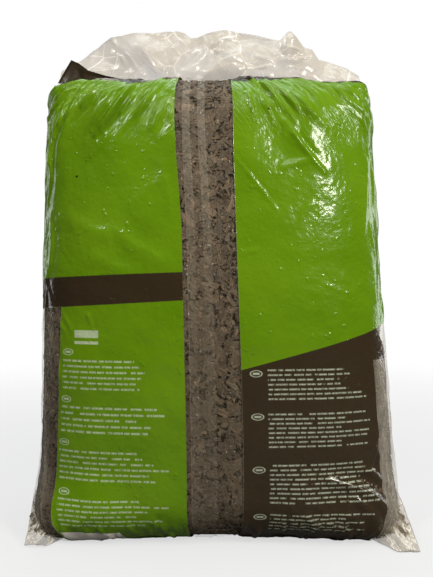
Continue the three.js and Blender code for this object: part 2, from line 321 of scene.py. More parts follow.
class Fold:
    """A crease raised in the film. Places, bend, width and height are in millimetres."""

    def __init__(self, start, end, bend, width, height):
        self.start = np.array(start) * MM
        self.end = np.array(end) * MM
        self.bend = bend * MM
        self.width = width * MM
        self.height = height * MM

    def line(self):
        share = np.linspace(0, 1, FOLD_POINTS)[:, None]
        run = self.end - self.start
        side = np.array([-run[1], run[0]]) / (np.linalg.norm(run) + 1e-9)
        return self.start + run * share + side * self.bend * 4 * share * (1 - share)

    def raise_on(self, s, v, height):
        """Adds this fold to the heights of the points near it."""
        line = self.line()
        margin = 4 * self.width
        near = ((s > line[:, 0].min() - margin) & (s < line[:, 0].max() + margin)
                & (v > line[:, 1].min() - margin) & (v < line[:, 1].max() + margin))
        if not near.any():
            return
        place = np.stack([s[near], v[near]], axis=-1)[:, None, :]
        a, b = line[None, :-1], line[None, 1:]
        run = b - a
        length = (run ** 2).sum(-1)
        share = np.clip(((place - a) * run).sum(-1) / length, 0, 1)
        offset = place - (a + run * share[..., None])
        distance = np.linalg.norm(offset, axis=-1)
        nearest = distance.argmin(axis=1)
        rows = np.arange(len(nearest))
        forward, aside = run[0, nearest], offset[rows, nearest]
        side = np.sign(forward[:, 0] * aside[:, 1] - forward[:, 1] * aside[:, 0])
        signed = distance[rows, nearest] * side
        along = (nearest + share[rows, nearest]) / (len(line) - 1)
        fade = np.sqrt(np.clip(np.sin(np.pi * along), 0, 1))
        steep = np.where(signed > 0, 0.5 * self.width, self.width)
        crest = np.exp(-(signed / steep) ** 2)
        trough = 0.35 * bell(signed - 1.4 * self.width, 0.8 * self.width)
        height[near] += self.height * fade * (crest - trough)


SEAM_SIDE_FOLDS = [
    # left shoulder
    Fold((-116, 676), (-167, 588), 7, 5, 6.5),
    Fold((-134, 676), (-181, 596), 7, 4, 4.5),
    Fold((-171, 672), (-194, 630), 3, 4.5, 4.6),
    Fold((-188, 676), (-203, 646), 2, 4, 3.6),
    Fold((-112, 650), (-131, 618), 2, 4, 4.2),
    Fold((-70, 684), (-124, 604), 7, 8, 3.8),
    Fold((-83, 640), (-112, 596), -4, 5, 1.2),
    Fold((-57, 636), (-58, 612), 2, 4, 1.4),
    Fold((-82, 608), (-96, 590), 2, 4, 1.2),
    Fold((-140, 612), (-178, 556), 8, 7, 1.4),
    Fold((-205, 660), (-222, 600), 4, 5, 2.0),
    Fold((-222, 668), (-240, 590), 5, 5, 2.4),
    Fold((-238, 640), (-250, 540), 4, 5, 2.0),
    # left face, broad and soft
    Fold((-205, 490), (-135, 456), -6, 13, 1.3),
    Fold((-140, 470), (-46, 416), -6, 13, 1.6),
    Fold((-165, 432), (-92, 405), -4, 12, 1.2),
    Fold((-70, 560), (-52, 470), 3, 9, 0.9),
    # right shoulder
    Fold((46, 700), (130, 602), 5, 6.5, 5.0),
    Fold((76, 700), (138, 610), 3, 5, 3.6),
    Fold((108, 616), (165, 540), -3, 4.5, 3.4),
    Fold((60, 676), (92, 628), -4, 8, 1.6),
    Fold((150, 690), (178, 646), 2, 4, 1.4),
    Fold((168, 690), (200, 640), 3, 4, 1.4),
    Fold((186, 688), (206, 650), 2, 3.5, 1.4),
    Fold((128, 680), (152, 640), 2, 5, 1.4),
    Fold((30, 568), (95, 485), 1, 2.2, 1.6),
    Fold((98, 543), (150, 557), 3, 6, 1.5),
    Fold((120, 474), (145, 502), 2, 5, 0.9),
    Fold((38, 430), (66, 436), 1, 4, 0.8),
    Fold((148, 392), (176, 381), 1, 3, 0.8),
    # lower right
    Fold((140, 132), (232, 84), 10, 9, 6.5),
    Fold((170, 112), (226, 58), 6, 6, 5.0),
    Fold((190, 148), (228, 120), 3, 6, 2.6),
    Fold((112, 92), (164, 50), -4, 6, 3.0),
    Fold((136, 74), (196, 44), 4, 4, 3.0),
    Fold((206, 180), (226, 150), 3, 5, 2.0),
    # lower left
    Fold((-90, 78), (-44, 60), -3, 5, 1.4),
    Fold((-150, 84), (-196, 60), -4, 7, 1.6),
    Fold((-208, 350), (-190, 325), 2, 3.5, 1.0),
    Fold((-170, 352), (-160, 330), 2, 3.5, 0.9),
]


def scattered_folds(count, seed, s_range, v_range, length, lean, width, height):
    """Folds at random places of one patch of film. lean gives the run in s for a run up of 1 in v."""
    random = np.random.default_rng(seed)
    folds = []
    for _ in range(count):
        s = random.uniform(*s_range)
        v = random.uniform(*v_range)
        run = random.uniform(*length)
        slope = lean(s) + random.normal(0, 0.18)
        across = run * slope / math.hypot(1, slope)
        upward = run / math.hypot(1, slope)
        bend = random.normal(0, 0.06) * run
        end = (s - across, v - upward)
        folds.append(Fold((s, v), end, bend, random.uniform(*width), random.uniform(*height)))
    return folds


def fanned(s):
    """The lean of folds that fan out from the middle of the top seal."""
    return -np.clip(s / 130, -1.2, 1.2)


def upright(s):
    """The lean of folds that run nearly straight up, a little different for each."""
    return 0.05 * math.sin(s)


def slanted(s):
    """The lean of folds that run down towards the right corner."""
    return -1.1


# Patches of small folds: how many, the seed, the ranges of s, v and length, the lean, width and height
FOLD_PATCHES = [
    (26, 11, (-240, -45), (640, 712), (40, 105), fanned, (3, 6), (1.0, 2.8)),
    (32, 12, (40, 240), (640, 712), (30, 90), fanned, (2.8, 5.5), (1.0, 2.6)),
    (12, 21, (-230, -50), (650, 700), (60, 120), fanned, (6, 11), (1.6, 3.0)),
    (12, 22, (45, 230), (650, 700), (60, 120), fanned, (6, 11), (1.6, 3.0)),
    (14, 23, (-36, 34), (640, 712), (20, 60), upright, (2.6, 4.5), (0.6, 1.6)),
    (46, 13, (-312, -240), (120, 690), (40, 150), upright, (3.5, 7), (0.8, 2.0)),
    (46, 14, (236, 312), (120, 690), (40, 150), upright, (3.5, 7), (0.8, 2.0)),
    (44, 15, (-230, 230), (44, 84), (12, 40), upright, (2.6, 5), (0.9, 2.2)),
    (34, 16, (90, 234), (40, 112), (14, 44), slanted, (2.4, 4.5), (1.0, 2.8)),
    (40, 17, (320, 600), (560, 710), (30, 110), upright, (4, 8), (0.8, 2.4)),
    (40, 18, (-600, -320), (560, 710), (30, 110), upright, (4, 8), (0.8, 2.4)),
    (30, 19, (320, 600), (40, 140), (20, 70), upright, (4, 8), (0.8, 2.0)),
    (30, 20, (-600, -320), (40, 140), (20, 70), upright, (4, 8), (0.8, 2.0)),
]

# Lumps of the fill that show through the film: height, size and seed
LUMPS = [(1.2 * MM, 46 * MM, 1), (0.5 * MM, 21 * MM, 2), (0.22 * MM, 10 * MM, 3)]
RIM_LUMP = (3.0 * MM, 34 * MM, 4)
RIM_LUMP_ZONE = (655 * MM, 700 * MM)
CRUMPLE_SIZE = 17 * MM
RIM_CRUMPLE = 1.2 * MM
RIM_CRUMPLE_ZONE = (640 * MM, 700 * MM)
FOOT_CRUMPLE = 1.6 * MM
FOOT_CRUMPLE_ZONE = (45 * MM, 95 * MM)
FLAT_FOOT_ZONE = (2 * MM, 25 * MM)
LAP_HEIGHT = 0.8 * MM
LAP_EDGE = 1.5 * MM


def strip_drift(v):
    return smooth(v, DRIFT_FROM, DRIFT_TO)


def film_relief(points, s, v):
    """How far the film stands out from the smooth body, from lumps of the fill, folds and the lap seam."""
    def lumps(lump, size, seed):
        return lump * noise(points, size, seed)

    height = sum(lumps(*lump) for lump in LUMPS) + lumps(*RIM_LUMP) * smooth(v, *RIM_LUMP_ZONE)
    folds = list(SEAM_SIDE_FOLDS)
    for patch in FOLD_PATCHES:
        folds += scattered_folds(*patch)
    for fold in folds:
        fold.raise_on(s, v, height)
    crumple = ridges(points, CRUMPLE_SIZE, 30)
    height = height + FOOT_CRUMPLE * crumple * (1 - smooth(v, *FOOT_CRUMPLE_ZONE))
    height = height + RIM_CRUMPLE * crumple * smooth(v, *RIM_CRUMPLE_ZONE)
    welded = s - WELD_DRIFT * strip_drift(v)
    lap = smooth(welded, LEFT_WELD[0] - LAP_EDGE, LEFT_WELD[0])
    lap = lap * (1 - smooth(welded, RIGHT_WELD[1], RIGHT_WELD[1] + LAP_EDGE))
    return (height + LAP_HEIGHT * lap) * smooth(v, *FLAT_FOOT_ZONE)


# Meshes

def mesh_object(name, vertices, faces, uv=None, uv_name="film", shade=True):
    """A mesh object from arrays. uv holds one pair for each corner of each face, in order."""
    mesh = bpy.data.meshes.new(name)
    mesh.from_pydata(np.asarray(vertices).tolist(), [], [list(map(int, face)) for face in faces])
    if uv is not None:
        layer = mesh.uv_layers.new(name=uv_name)
        layer.data.foreach_set("uv", np.asarray(uv, dtype=np.float32).ravel())
    mesh.polygons.foreach_set("use_smooth", [shade] * len(mesh.polygons))
    mesh.update()
    made = bpy.data.objects.new(name, mesh)
    bpy.context.scene.collection.objects.link(made)
    return made


def ring_faces(rows, count):
    """Quads between neighbouring closed rings, and the corners' places in a grid with one more column."""
    row, column = np.meshgrid(np.arange(rows - 1), np.arange(count), indexing="ij")
    row, column = row.ravel(), column.ravel()
    following = (column + 1) % count
    faces = np.stack([row * count + column, row * count + following,
                      (row + 1) * count + following, (row + 1) * count + column], axis=-1)
    wide = count + 1
    corners = np.stack([row * wide + column, row * wide + column + 1,
                        (row + 1) * wide + column + 1, (row + 1) * wide + column], axis=-1)
    return faces, corners


def ring_object(name, points, s, v):
    """A closed body from rings of points, with a fan at each end and the film's coordinates as its UV map."""
    rows, count = points.shape[:2]
    faces, corners = ring_faces(rows, count)
    places = np.stack([s, v], axis=-1).reshape(-1, 2)
    uv = list(places[corners].reshape(-1, 2))
    vertices = list(points.reshape(-1, 3)) + [points[0].mean(axis=0), points[-1].mean(axis=0)]
    faces = faces.tolist()
    foot_centre, top_centre = rows * count, rows * count + 1
    top_ring, top = (rows - 1) * count, v[-1, 0]
    for i in range(count):
        following = (i + 1) % count
        faces.append([foot_centre, following, i])
        uv += [(s[0, i], -FOOT_DEPTH / 2), (s[0, i + 1], 0), (s[0, i], 0)]
        faces.append([top_centre, top_ring + i, top_ring + following])
        uv += [(s[-1, i], top), (s[-1, i], top), (s[-1, i + 1], top)]
    return mesh_object(name, vertices, faces, uv)


def envelope_object(name, front, back):
    """A flat bag of film from two grids of points that share the first one's border."""
    rows, count = front.shape[:2]
    index = np.arange(rows * count).reshape(rows, count)
    other = index + rows * count
    for edge in (np.s_[0], np.s_[-1], np.s_[:, 0], np.s_[:, -1]):
        other[edge] = index[edge]
    faces = []
    for grid, turn in ((index, 1), (other, -1)):
        quads = np.stack([grid[:-1, :-1], grid[:-1, 1:], grid[1:, 1:], grid[1:, :-1]], axis=-1)
        faces += quads.reshape(-1, 4)[:, ::turn].tolist()
    vertices = np.concatenate([front.reshape(-1, 3), back.reshape(-1, 3)])
    used, faces = np.unique(np.array(faces), return_inverse=True)
    vertices = vertices[used]
    faces = faces.reshape(-1, 4)
    return mesh_object(name, vertices, faces, vertices[faces.ravel()][:, [0, 2]])


def make_body(points, normals, s, v):
    """The filled tube of film, raised from the smooth body by its lumps, folds and lap."""
    relief = film_relief(points, s[:, :-1], v[:, :-1])
    raised = points + normals * relief[..., None]
    raised[..., 2] = np.maximum(raised[..., 2], 0)
    raised[0, :, 2] = 0
    return ring_object("film_body", raised, s, v)


def header_height(across):
    places, heights = zip(*HEADER_OUTLINE)
    return HEADER_HEIGHT * np.interp(across, places, heights)


# Straight creases of the header. Places run right from the camera's middle and up from the seal.
HEADER_FOLDS = [
    Fold((-160, 74), (-108, 12), 4, 5, 3.6),
    Fold((-146, 70), (-120, 34), 2, 3, 1.8),
    Fold((-156, 48), (-134, 30), 5, 2.5, 1.6),
    Fold((-119, 62), (-100, 42), 2, 3, 2.0),
    Fold((-98, 62), (-84, 46), 2, 3, 2.0),
    Fold((-82, 62), (-64, 44), 2, 3, 2.0),
    Fold((-90, 84), (-84, 62), 1, 2.5, 1.6),
    Fold((-78, 56), (-74, 8), 1, 3.5, 2.2),
    Fold((-40, 76), (-30, 30), 3, 8, 3.0),
    Fold((-12, 52), (36, 78), 2, 3, 2.6),
    Fold((-4, 46), (16, 42), 3, 4, 2.4),
    Fold((14, 52), (20, 44), 0, 2.5, 2.0),
    Fold((24, 64), (50, 66), 2, 3, 1.6),
    Fold((20, 28), (84, 30), -6, 3, 2.4),
    Fold((54, 46), (86, 36), -3, 4, 2.6),
    Fold((86, 36), (138, 44), -3, 5, 2.6),
    Fold((92, 58), (122, 52), 1, 2.5, 1.6),
    Fold((104, 26), (160, 22), 2, 3, 2.4),
    Fold((132, 44), (150, 12), 2, 4, 2.2),
    Fold((166, 12), (196, 6), 1, 3, 2.0),
]


def faceted(x, z, count, seed, slope, reach):
    """Flat facets that meet in straight creases, as in stiff film that has been crushed."""
    random = np.random.default_rng(seed)
    height = np.zeros_like(x)
    for _ in range(count):
        middle_x = random.uniform(x.min(), x.max())
        middle_z = random.uniform(z.min(), z.max())
        turn = random.uniform(0, math.pi)
        distance = np.abs((x - middle_x) * math.cos(turn) + (z - middle_z) * math.sin(turn))
        away = np.hypot(x - middle_x, z - middle_z)
        height = height + random.uniform(-slope, slope) * distance * bell(away, reach)
    return height


def make_header():
    """The two films above the top seal, crumpled, joined all round their edges and apart between them."""
    across, up = np.meshgrid(np.linspace(0, 1, HEADER_COLUMNS), np.linspace(0, 1, HEADER_ROWS))
    x = (across - 0.5) * SEAL_WIDTH - LEAN
    wave = HEADER_WAVE * np.sin(2 * np.pi * HEADER_WAVES * across) * up
    rise = -HEADER_LAP + (header_height(across) + HEADER_LAP) * up
    base = np.stack([x + AXIS_X, HEADER_BACK * up ** 2 + wave + AXIS_Y, BODY_HEIGHT + rise], axis=-1)
    folded = np.zeros_like(x)
    for fold in HEADER_FOLDS:
        fold.raise_on(x, rise, folded)
    films = []
    for side, seed, creased in ((-1, 40, folded), (1, 50, 0)):
        crumple = faceted(x, rise, count=46, seed=seed, slope=0.34, reach=42 * MM)
        crumple = crumple + faceted(x, rise, count=60, seed=seed + 1, slope=0.22, reach=16 * MM)
        crumple = crumple + 0.5 * MM * noise(base, 9 * MM, seed + 9)
        gape = side * (1.0 * MM + 3.0 * MM * np.sin(np.pi * across) * up)
        film = base.copy()
        film[..., 1] += (crumple - creased) * (0.3 + 0.7 * smooth(up, 0, 0.3)) + gape
        films.append(film)
    return envelope_object("film_header", *films)


def make_shoulder_tuck():
    """The dark printed corner, a pleated flap of two films."""
    outline = np.array(TUCK_OUTLINE) * MM
    middle = outline.mean(axis=0)
    rings = np.linspace(0.04, 1, TUCK_RINGS)
    grid = middle + (outline[None] - middle) * rings[:, None, None]
    x, z = grid[..., 0], grid[..., 1]
    pleat = PLEAT_DEPTH * np.abs(((x + PLEAT_SLANT * z) / PLEAT_PITCH) % 2 - 1)
    lean_out = -TUCK_LEAN * (x - x.max())
    front = np.stack([x + AXIS_X, AXIS_Y - TUCK_FORWARD - pleat + lean_out, z + BODY_HEIGHT], axis=-1)
    back = front + (0, TUCK_THICKNESS, 0)
    count = len(outline)
    shift = TUCK_RINGS * count
    rim = shift - count
    quads, _ = ring_faces(TUCK_RINGS, count)
    faces = quads.tolist() + (quads[:, ::-1] + shift).tolist()
    for i in range(count):
        following = (i + 1) % count
        faces.append([rim + i, rim + shift + i, rim + shift + following, rim + following])
        faces.append([i, following, shift + following, shift + i])
    vertices = np.concatenate([front.reshape(-1, 3), back.reshape(-1, 3)])
    uv = vertices[np.ravel(faces)][:, [0, 2]]
    return mesh_object("shoulder_tuck", vertices, faces, uv)


def ear_point(out, along, side, reach, spread):
    """A place on the flat form of a loose corner: along it from the body to its tip, and out across it."""
    corner = FOOT_WIDTH / 2
    tip = -CORNER_SWING - reach
    inner_root = np.array([side * (corner - EAR_WIDTH), -CORNER_SWING, EAR_LIFT])
    inner_tip = np.array([side * (corner + spread - EAR_WIDTH), tip, EAR_LIFT])
    outer_tip = np.array([side * (corner + spread), tip, EAR_LIFT])
    outer_root = np.array([side * (LOW_WIDTH / 2 - EAR_INSET), -CORNER_SWING, EAR_RISE])
    out, along = np.asarray(out)[..., None], np.asarray(along)[..., None]
    inner = inner_root + (inner_tip - inner_root) * along
    outer = outer_root + (outer_tip - outer_root) * along
    return inner + (outer - inner) * out + np.array([AXIS_X, AXIS_Y, 0])


def ear_normal(**corner):
    """The direction that a loose corner faces, forwards and up."""
    across = ear_point(1, 0.3, **corner) - ear_point(0, 0.3, **corner)
    forward = ear_point(0.5, 1, **corner) - ear_point(0.5, 0, **corner)
    normal = np.cross(across, forward)
    normal = normal * np.sign(normal[2])
    return normal / np.linalg.norm(normal)


def make_ear(name, corner, seed):
    """One loose corner of the bottom seal, a crumpled fin of two films."""
    out, along = np.meshgrid(np.linspace(0, 1, EAR_COLUMNS), np.linspace(0, 1, EAR_ROWS))
    base = ear_point(out, along, **corner)
    base[..., 2] += EAR_CROWN * np.sin(np.pi * out) * np.sin(np.pi * along)
    normal = ear_normal(**corner)
    films = []
    for offset, film_seed in ((-MM, seed), (MM, seed + 20)):
        width = (out - 0.5) * EAR_WIDTH * 2
        length = along * corner["reach"]
        crumple = faceted(width, length, count=30, seed=film_seed, slope=0.5, reach=14 * MM)
        crumple = crumple + 1.5 * MM * ridges(base, 11 * MM, film_seed + 5)
        film = base + normal * (crumple + offset)[..., None]
        film[..., 2] = np.maximum(film[..., 2], 0.4 * MM)
        films.append(film)
    border = films[0].copy()
    if corner["side"] > 0:
        films.reverse()
        for edge in (np.s_[0], np.s_[-1], np.s_[:, 0], np.s_[:, -1]):
            films[0][edge] = border[edge]
    return envelope_object(name, *films)


# The fill

CHIP_COUNT = 9600
CRUMB_COUNT = 9600
EAR_CHIP_COUNT = 520
CHIP_LENGTH = 9.5
CRUMB_LENGTH = 5.5
EAR_CHIP_LENGTH = 7.5
SPLINTER_LENGTH = 6 * MM
CHIP_DEPTH = 1.9 * MM
CHIP_CEILING = 1.7 * MM
CHIPS_FOOT = 6 * MM
CHIPS_TOP = 700 * MM
CHIP_SIDES = 6
CHIP_ENDS = np.array([-0.5, -0.42, 0.4, 0.5, 0.44, -0.46])
CHIP_FLANKS = np.array([-0.1, -0.5, -0.46, 0.12, 0.5, 0.42])
LENGTH_SPREAD = 0.45
WIDTH_SHARES = (0.24, 0.6)
THICKNESSES = (1.2, 3.0)
TILT_SPREAD = 0.2
ROLL_SPREAD = 0.28
# Larger chips stay below the palest tints, which are painted glints
TINTS_BELOW_GLINTS = 0.98
GRAIN_STEP = 0.037
BED_SETBACK = 2.2 * MM
BED_SHARE = 0.8
BED_STEP = 3
BED_TOP_ROWS = 12
PRINT_MARGIN = 12 * MM
BEHIND_PRINT = 0.04


def scattered_share(row, column):
    """A scattered share from 0 to 1 at each place of the part's grid, the same as in the part itself."""
    wave = np.sin(row * 12.9898 + column * 78.233) * 43758.5453
    return wave - np.floor(wave)


def hollow_depth(row, turn):
    """How deep the fill lies under the film, at rows and turns of the modelled surface."""
    part_row = (np.minimum(row / FOOT_ROWS, 1) * PART_FOOT_ROWS
                + np.clip((row - FOOT_ROWS) / WALL_ROWS, 0, 1) * PART_WALL_ROWS
                + np.maximum((row - FOOT_ROWS - WALL_ROWS) / TOP_ROWS, 0) * PART_TOP_ROWS)
    part_column = ((turn - np.pi / 2) / (2 * np.pi) * PART_RING_POINTS) % PART_RING_POINTS
    low_row, low_column = np.floor(part_row), np.floor(part_column)
    up, across = part_row - low_row, part_column - low_column
    depth = 0
    for i, row_weight in ((0, 1 - up), (1, up)):
        for j, column_weight in ((0, 1 - across), (1, across)):
            share = scattered_share(low_row + i, (low_column + j) % PART_RING_POINTS)
            depth = depth + row_weight * column_weight * share
    return FILL_DEPTH + HOLLOW_DEPTH * depth


def clear_share(s, v):
    """How much a place on the film is worth filling with chips: 1 behind clear film and little elsewhere."""
    left = STRIP_LEFT + STRIP_DRIFT * strip_drift(v)
    strip = smooth(s, left - PRINT_MARGIN, left) * (1 - smooth(s, STRIP_RIGHT, STRIP_RIGHT + PRINT_MARGIN))
    at_side = np.abs(s) < BACK_PANEL_EDGE + PRINT_MARGIN
    left_side = (s < LEFT_PANEL_EDGE + PRINT_MARGIN) & (v < BAND_FOOT)
    right_side = (s > RIGHT_PANEL_EDGE - PRINT_MARGIN) & (v < RIGHT_PANEL_STEP + PRINT_MARGIN)
    return np.maximum(np.maximum(strip, (left_side | right_side) & at_side), BEHIND_PRINT)


def make_bed(points, normals, s, v, hollows):
    """The dark inside of the fill, behind the chips that can be made out."""
    depth = hollows * BED_SHARE + BED_SETBACK + 1.2 * MM * noise(points, 12 * MM, 60)
    sunk = points - normals * depth[..., None]
    sunk[..., 2] = np.clip(sunk[..., 2], 3 * MM, BODY_HEIGHT - 20 * MM)
    count = points.shape[1]
    keep = np.arange(0, count, BED_STEP)
    wrapped = np.append(keep, count)
    rows = np.arange(0, points.shape[0] - BED_TOP_ROWS, BED_STEP)
    return ring_object("chip_bed", sunk[rows][:, keep], s[rows][:, wrapped], v[rows][:, wrapped])


def chip_outline(random, length, width):
    """An irregular flat splinter with square-cut or torn ends, seen from above."""
    x = CHIP_ENDS + random.normal(0, 0.045, CHIP_SIDES)
    y = CHIP_FLANKS + random.normal(0, 0.09, CHIP_SIDES)
    return np.stack([x * length, y * width], axis=-1)


class ChipHeap:
    """Gathers separate chips and makes one piece of them."""

    def __init__(self, seed):
        self.random = np.random.default_rng(seed)
        self.vertices, self.faces, self.grain, self.tint = [], [], [], []

    def add(self, place, outward, side, typical, ceiling):
        """A chip at a place, lying roughly across the outward direction and kept under the ceiling."""
        random = self.random
        length = random.lognormal(math.log(typical), LENGTH_SPREAD)
        length = float(np.clip(length, 0.4 * typical, 2.8 * typical)) * MM
        width = length * random.uniform(*WIDTH_SHARES)
        thickness = random.uniform(*THICKNESSES) * MM
        upright = np.cross(outward, side)
        turn = random.uniform(0, 2 * math.pi)
        first = math.cos(turn) * side + math.sin(turn) * upright
        second = np.cross(outward, first)
        tilt, roll = random.normal(0, TILT_SPREAD), random.normal(0, ROLL_SPREAD)
        outline = chip_outline(random, length, width)
        start = len(self.vertices)
        for level in (0.5, -0.5):
            for x, y in outline:
                lift = min(level * thickness + x * tilt + y * roll, ceiling)
                self.vertices.append(place + first * x + second * y + outward * lift)
        top = list(range(start, start + CHIP_SIDES))
        bottom = list(range(start + CHIP_SIDES, start + 2 * CHIP_SIDES))
        # Only crumbs reach the palest tints, the painted glints
        shade = random.uniform(0, 1 if length < SPLINTER_LENGTH else TINTS_BELOW_GLINTS)
        offset = start * GRAIN_STEP
        self.faces += [top, bottom[::-1]]
        for face in (outline, outline[::-1]):
            self.grain += [(x + offset, y) for x, y in face]
            self.tint += [shade] * CHIP_SIDES
        for k in range(CHIP_SIDES):
            following = (k + 1) % CHIP_SIDES
            self.faces.append([top[k], bottom[k], bottom[following], top[following]])
            for corner, drop in ((k, 0), (k, thickness), (following, thickness), (following, 0)):
                self.grain.append((outline[corner][0] + offset, outline[corner][1] + drop))
            self.tint += [shade] * 4

    def make(self, name):
        vertices = np.array(self.vertices)
        vertices[:, 2] = np.maximum(vertices[:, 2], 2 * MM)
        chips = mesh_object(name, vertices, self.faces, self.grain, "grain", shade=False)
        layer = chips.data.attributes.new("tint", "FLOAT", "CORNER")
        layer.data.foreach_set("value", np.array(self.tint, dtype=np.float32))
        return chips


def make_chips(name, seed, count, length, sunk, surface):
    """Separate chips close under the film, thick behind the clear film and thin behind the print.

    sunk is the share of the hollows' depth that they fill.
    """
    points, normals, s, v, hollows = surface
    heap = ChipHeap(seed)
    s, v = s[:, :-1], v[:, :-1]
    along = np.roll(points, -1, axis=1) - points
    area = np.linalg.norm(np.cross(along, np.gradient(points, axis=0)), axis=-1)
    worth = area * clear_share(s, v) * (v > CHIPS_FOOT) * (v < CHIPS_TOP)
    chance = np.cumsum(worth.ravel())
    chosen = np.searchsorted(chance, heap.random.uniform(0, chance[-1], count))
    for i, j in zip(*np.unravel_index(chosen, worth.shape)):
        side = along[i, j] / np.linalg.norm(along[i, j])
        depth = CHIP_DEPTH + (hollows[i, j] - 0.6 * MM) * sunk * heap.random.uniform(0, 1) ** 1.3
        heap.add(points[i, j] - normals[i, j] * depth, normals[i, j], side, length, depth - CHIP_CEILING)
    return heap.make(name)


def make_corner_chips():
    """The few chips that have slipped into the loose corners of the bottom seal."""
    heap = ChipHeap(9)
    for corner in (LEFT_EAR, RIGHT_EAR):
        outward = ear_normal(**corner)
        side = np.cross(outward, (0, 0, 1))
        side = side / np.linalg.norm(side)
        for _ in range(EAR_CHIP_COUNT):
            out = heap.random.uniform(0.1, 0.86)
            along = 0.78 * heap.random.uniform(0, 1) ** 1.1 * (0.2 + 0.8 * out)
            depth = heap.random.uniform(2.2, 3.2 + 6 * (1 - out)) * MM
            place = ear_point(out, along, **corner) - outward * depth
            heap.add(place, outward, side, EAR_CHIP_LENGTH, 0.8 * MM)
    return heap.make("corner_chips")


# Shaders

class Value:
    """A number in a shader, so that shader maths reads as plain expressions."""

    def __init__(self, shader, socket):
        self.shader = shader
        self.socket = socket

    def __add__(self, other):
        return self.shader.maths("ADD", self, other)

    __radd__ = __add__

    def __sub__(self, other):
        return self.shader.maths("SUBTRACT", self, other)

    def __rsub__(self, other):
        return self.shader.maths("SUBTRACT", other, self)

    def __mul__(self, other):
        return self.shader.maths("MULTIPLY", self, other)

    __rmul__ = __mul__

    def __truediv__(self, other):
        return self.shader.maths("DIVIDE", self, other)

    def floor(self):
        return self.shader.maths("FLOOR", self)

    def part(self):
        return self.shader.maths("FRACT", self)

    def size(self):
        return self.shader.maths("ABSOLUTE", self)

    def root(self):
        return self.shader.maths("SQRT", self)

    def above(self, edge, softness=EDGE_SOFTNESS):
        """1 where this is over the edge and 0 below it, with a soft step."""
        return self.shader.maths("MULTIPLY_ADD", self - edge, 1 / softness, 0.5, clamp=True)

    def below(self, edge, softness=EDGE_SOFTNESS):
        return self.shader.maths("MULTIPLY_ADD", self - edge, -1 / softness, 0.5, clamp=True)

    def within(self, low, high, softness=EDGE_SOFTNESS):
        return self.above(low, softness) * self.below(high, softness)

    def either(self, other):
        return self.shader.maths("MAXIMUM", self, other)


class Shader:
    """A material's node tree, with the few ways in which this script adds nodes."""

    def __init__(self, name, owner=None):
        self.owner = owner or bpy.data.materials.new(name)
        self.owner.use_nodes = True
        self.tree = self.owner.node_tree
        self.tree.nodes.clear()

    def node(self, kind, settings=None, inputs=None, output=0):
        """A node of any kind: its settings come first, then the values or links of its sockets."""
        made = self.tree.nodes.new(kind)
        for name, value in (settings or {}).items():
            setattr(made, name, value)
        for name, value in (inputs or {}).items():
            socket = made.inputs[name]
            if isinstance(value, Value):
                self.tree.links.new(value.socket, socket)
            else:
                socket.default_value = value
        return Value(self, made.outputs[output])

    def ramp(self, factor, stops):
        """A colour that runs through stops, each a place from 0 to 1 and a colour."""
        made = self.node("ShaderNodeValToRGB", {}, {"Fac": factor})
        elements = made.socket.node.color_ramp.elements
        while len(elements) < len(stops):
            elements.new(1.0)
        for element, (place, colour) in zip(elements, stops):
            element.position = place
            element.color = (*colour, 1)
        return made

    def maths(self, operation, *values, clamp=False):
        settings = {"operation": operation, "use_clamp": clamp}
        return self.node("ShaderNodeMath", settings, dict(enumerate(values)))

    def place(self):
        """The place on the object, in its own frame."""
        return self.node("ShaderNodeTexCoord", {}, {}, output=3)

    def bump(self, height, strength, distance):
        inputs = {"Strength": strength, "Distance": distance, "Height": height}
        return self.node("ShaderNodeBump", {}, inputs)

    def soft_step(self, value, low, high, floor=0.0, ceiling=1.0):
        """From floor to ceiling while the value goes from low to high, smoothly."""
        inputs = {"Value": value, "From Min": low, "From Max": high, "To Min": floor, "To Max": ceiling}
        return self.node("ShaderNodeMapRange", {"interpolation_type": "SMOOTHSTEP"}, inputs)

    def mixed(self, factor, first, second):
        """One colour over another. Each is a colour triple or a link."""
        def full(colour):
            return colour if isinstance(colour, Value) else (*colour, 1)
        inputs = {0: factor, 6: full(first), 7: full(second)}
        return self.node("ShaderNodeMix", {"data_type": "RGBA"}, inputs, output=2)

    def noise(self, vector, scale, detail=2.0, rough=0.5, output=0):
        inputs = {"Vector": vector, "Scale": scale, "Detail": detail, "Roughness": rough}
        return self.node("ShaderNodeTexNoise", {}, inputs, output)

    def vector(self, x=0.0, y=0.0, z=0.0):
        return self.node("ShaderNodeCombineXYZ", {}, {0: x, 1: y, 2: z})

    def parts(self, vector):
        split = self.node("ShaderNodeSeparateXYZ", {}, {0: vector})
        outputs = split.socket.node.outputs
        return [Value(self, outputs[i]) for i in range(3)]

    def principled(self, **inputs):
        named = {name.replace("_", " "): value for name, value in inputs.items()}
        return self.node("ShaderNodeBsdfPrincipled", {}, named)

    def output(self, surface, kind="ShaderNodeOutputMaterial"):
        """Wires a surface to the output, and gives the material or world back."""
        result = self.tree.nodes.new(kind)
        self.tree.links.new(surface.socket, result.inputs["Surface"])
        return self.owner

    def finish(self, **inputs):
        """The whole surface as one Principled shader."""
        return self.output(self.principled(**inputs))


# The film's inks, its haze and its gloss

GREEN = (0.075, 0.161, 0.001)
GREEN_LIGHT = (0.097, 0.192, 0.0025)
DARK = (0.026, 0.017, 0.008)
INK_PALE = (0.46, 0.50, 0.38)
INK_SHARE = 0.62
LABEL = (0.62, 0.58, 0.53)
VEIL = (0.26, 0.215, 0.145)
# The veil's pale colour, for the painted highlights and sheen and for the weld bands
VEIL_WHITE = (0.74, 0.70, 0.62)
FILM_IOR = 1.5
FILM_GLOSS = 0.25
FAN_SLOPE = 0.65
VEIL_SHARE = 0.045
WELD_SHARE = 0.15
# How opaque the painted highlights, sheen and dust make the clear film
SHEEN_AND_DUST_SHARE = 0.42


